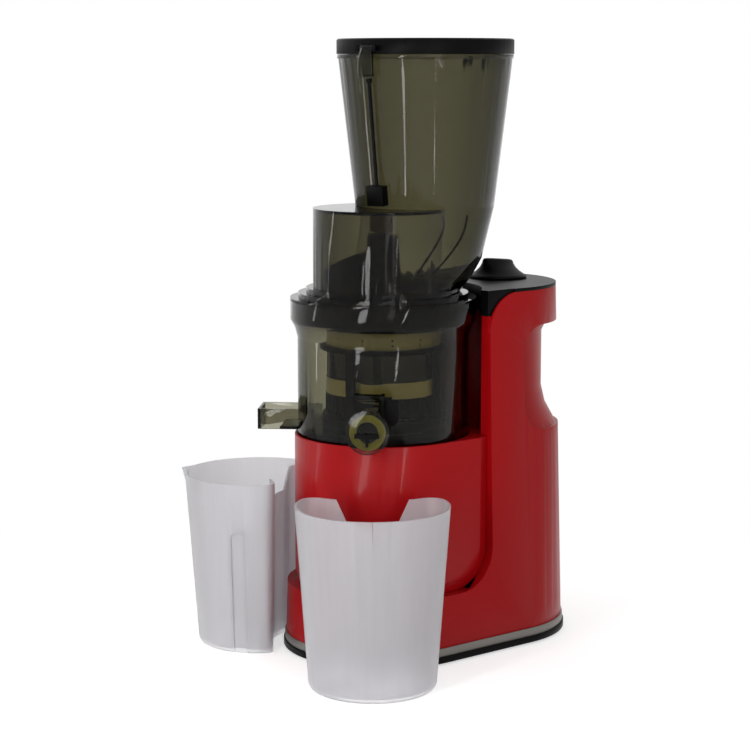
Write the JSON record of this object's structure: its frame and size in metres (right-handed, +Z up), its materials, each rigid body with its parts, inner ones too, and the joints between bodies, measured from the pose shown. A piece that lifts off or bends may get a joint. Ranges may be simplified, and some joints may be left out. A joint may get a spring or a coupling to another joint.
{
  "type": "cold press juicer",
  "caption": "Vertical cold press juicer: red body with a column and rotary knob, smoky bowl with strainer, press screw, spout flap and pulp chute, dome with lidded hopper, frosted cups",
  "frame": {"origin": "on the bowl axis, at the surface that the juicer and its cups stand on", "axes": "+Z up along the bowl axis, -Y to the front, the column behind at +Y, +X to the side of the juice spout"},
  "size_m": [0.2505, 0.2801, 0.439],
  "materials": {
    "red_gloss": "glossy red with a fine metallic sheen",
    "black_moulded": "satin black moulding",
    "black_gloss": "polished black moulding",
    "silver_trim": "silver-coloured band",
    "rubber_dark": "matt elastomer",
    "steel": "machined steel",
    "cast_alloy": "die-cast housing",
    "bronze": "sintered bearing metal",
    "copper_wire": "enamelled windings",
    "board_green": "printed board with its parts",
    "gear_white": "engineering plastic",
    "smoke_clear": "smoke-tinted clear plastic",
    "amber_clear": "amber translucent plastic",
    "silicone_red": "soft silicone",
    "silicone_lime": "yellow-green silicone",
    "frosted_white": "frosted translucent plastic"
  },
  "bodies": {
    "housing": {"base_plate": "black_moulded", "rubber_feet": "rubber_dark", "base_screws": "steel", "trim_band": "silver_trim", "front_shell": "red_gloss", "rear_shell": "red_gloss", "column_cap": "black_moulded", "bowl_seat": "black_moulded", "shaft_seal": "rubber_dark", "lock_switch": "black_moulded", "gearbox_case": "cast_alloy", "gearbox_cover": "cast_alloy", "gearbox_screws": "steel", "shaft_bushes": "bronze", "motor_stator": "steel", "motor_coils": "copper_wire", "motor_frame": "steel", "motor_dampers": "rubber_dark", "rotary_switch": "black_moulded", "control_board": "board_green", "cord_inlet": "black_moulded"},
    "rotor": {"motor_shaft": "steel", "rotor_core": "steel", "cooling_fan": "black_moulded", "motor_pinion": "steel"},
    "counter_gear": {"layshaft": "steel", "layshaft_gear": "gear_white"},
    "output": {"output_gear": "gear_white", "drive_shaft": "steel"},
    "knob": {"control_knob": "black_gloss", "switch_spindle": "steel"},
    "bowl": {"juice_bowl": "smoke_clear", "bowl_spout": "smoke_clear", "pulp_duct": "smoke_clear", "pulp_chute": "smoke_clear", "bowl_seal": "rubber_dark", "strainer_frame": "amber_clear", "strainer_mesh": "steel", "strainer_base": "black_moulded"},
    "screw": {"auger": "black_gloss", "auger_gear": "gear_white"},
    "idler": {"wiper_idler": "gear_white"},
    "wiper": {"wiper_cage": "black_moulded", "wiper_blades": "silicone_red"},
    "spout_flap": {"spout_cap": "smoke_clear", "spout_seal": "silicone_lime", "spout_grip": "black_moulded", "spout_pin": "black_moulded"},
    "hopper_set": {"hopper_base": "smoke_clear", "auger_bush": "bronze", "hopper": "smoke_clear", "rod_bracket": "black_moulded"},
    "lid": {"hopper_lid": "black_moulded", "lid_pin": "steel"},
    "latch": {"lid_latch": "black_moulded"},
    "rod": {"interlock_rod": "black_moulded", "rod_spring": "steel"},
    "juice_cup": {"juice_cup": "frosted_white"},
    "pulp_cup": {"pulp_cup": "frosted_white"}
  },
  "joints": [
    {"name": "rotor_spin", "type": "hinge", "parent": "housing", "child": "rotor", "pos_m": [0, 0, 0.05], "axis": [0, 0, 1], "continuous": true},
    {"name": "counter_gear_spin", "type": "hinge", "parent": "housing", "child": "counter_gear", "pos_m": [0, 0.035, 0.09], "axis": [0, 0, 1], "continuous": true},
    {"name": "output_spin", "type": "hinge", "parent": "housing", "child": "output", "pos_m": [0, 0, 0.12], "axis": [0, 0, 1], "continuous": true},
    {"name": "knob_turn", "type": "hinge", "parent": "housing", "child": "knob", "pos_m": [0, 0.111, 0.262], "axis": [0, 0, 1], "range_deg": [-45, 45]},
    {"name": "bowl_lift", "type": "slide", "parent": "housing", "child": "bowl", "axis": [0, 0, 1], "range_m": [0, 0.15]},
    {"name": "screw_spin", "type": "hinge", "parent": "bowl", "child": "screw", "pos_m": [0, 0, 0.2], "axis": [0, 0, 1], "continuous": true},
    {"name": "idler_spin", "type": "hinge", "parent": "bowl", "child": "idler", "pos_m": [0, 0.021, 0.168], "axis": [0, 0, 1], "continuous": true},
    {"name": "wiper_spin", "type": "hinge", "parent": "bowl", "child": "wiper", "pos_m": [0, 0, 0.168], "axis": [0, 0, 1], "continuous": true},
    {"name": "spout_flap_swing", "type": "hinge", "parent": "bowl", "child": "spout_flap", "pos_m": [0.04818, -0.05078, 0.193], "axis": [-0.7254, -0.6884, 0], "range_deg": [0, 110]},
    {"name": "hopper_lift", "type": "slide", "parent": "bowl", "child": "hopper_set", "axis": [0, 0, 1], "range_m": [0, 0.09]},
    {"name": "lid_swing", "type": "hinge", "parent": "hopper_set", "child": "lid", "pos_m": [-0.01385, 0.10394, 0.431], "axis": [-0.9781, -0.2079, 0], "range_deg": [0, 105]},
    {"name": "latch_swing", "type": "hinge", "parent": "lid", "child": "latch", "pos_m": [0.01378, -0.02605, 0.432], "axis": [-0.9781, -0.2079, 0], "range_deg": [0, 60]},
    {"name": "rod_slide", "type": "slide", "parent": "hopper_set", "child": "rod", "axis": [0.0241, -0.1133, 0.9933], "range_m": [-0.003, 0], "stiffness_N_per_m": 150, "springref_m": 0.004, "deforming": ["rod_spring"]},
    {"name": "juice_cup_slide", "type": "slide", "parent": "housing", "child": "juice_cup", "axis": [0.7314, -0.682, 0], "range_m": [0, 0.12]},
    {"name": "pulp_cup_slide", "type": "slide", "parent": "housing", "child": "pulp_cup", "axis": [-0.7278, -0.6858, 0], "range_m": [0, 0.12]}
  ],
  "couplings": [
    {"joint": "counter_gear_spin", "follows": "rotor_spin", "ratio": -0.27273},
    {"joint": "output_spin", "follows": "rotor_spin", "ratio": 0.090909},
    {"joint": "screw_spin", "follows": "rotor_spin", "ratio": 0.090909},
    {"joint": "idler_spin", "follows": "rotor_spin", "ratio": -0.090909},
    {"joint": "wiper_spin", "follows": "rotor_spin", "ratio": -0.030303}
  ]
}
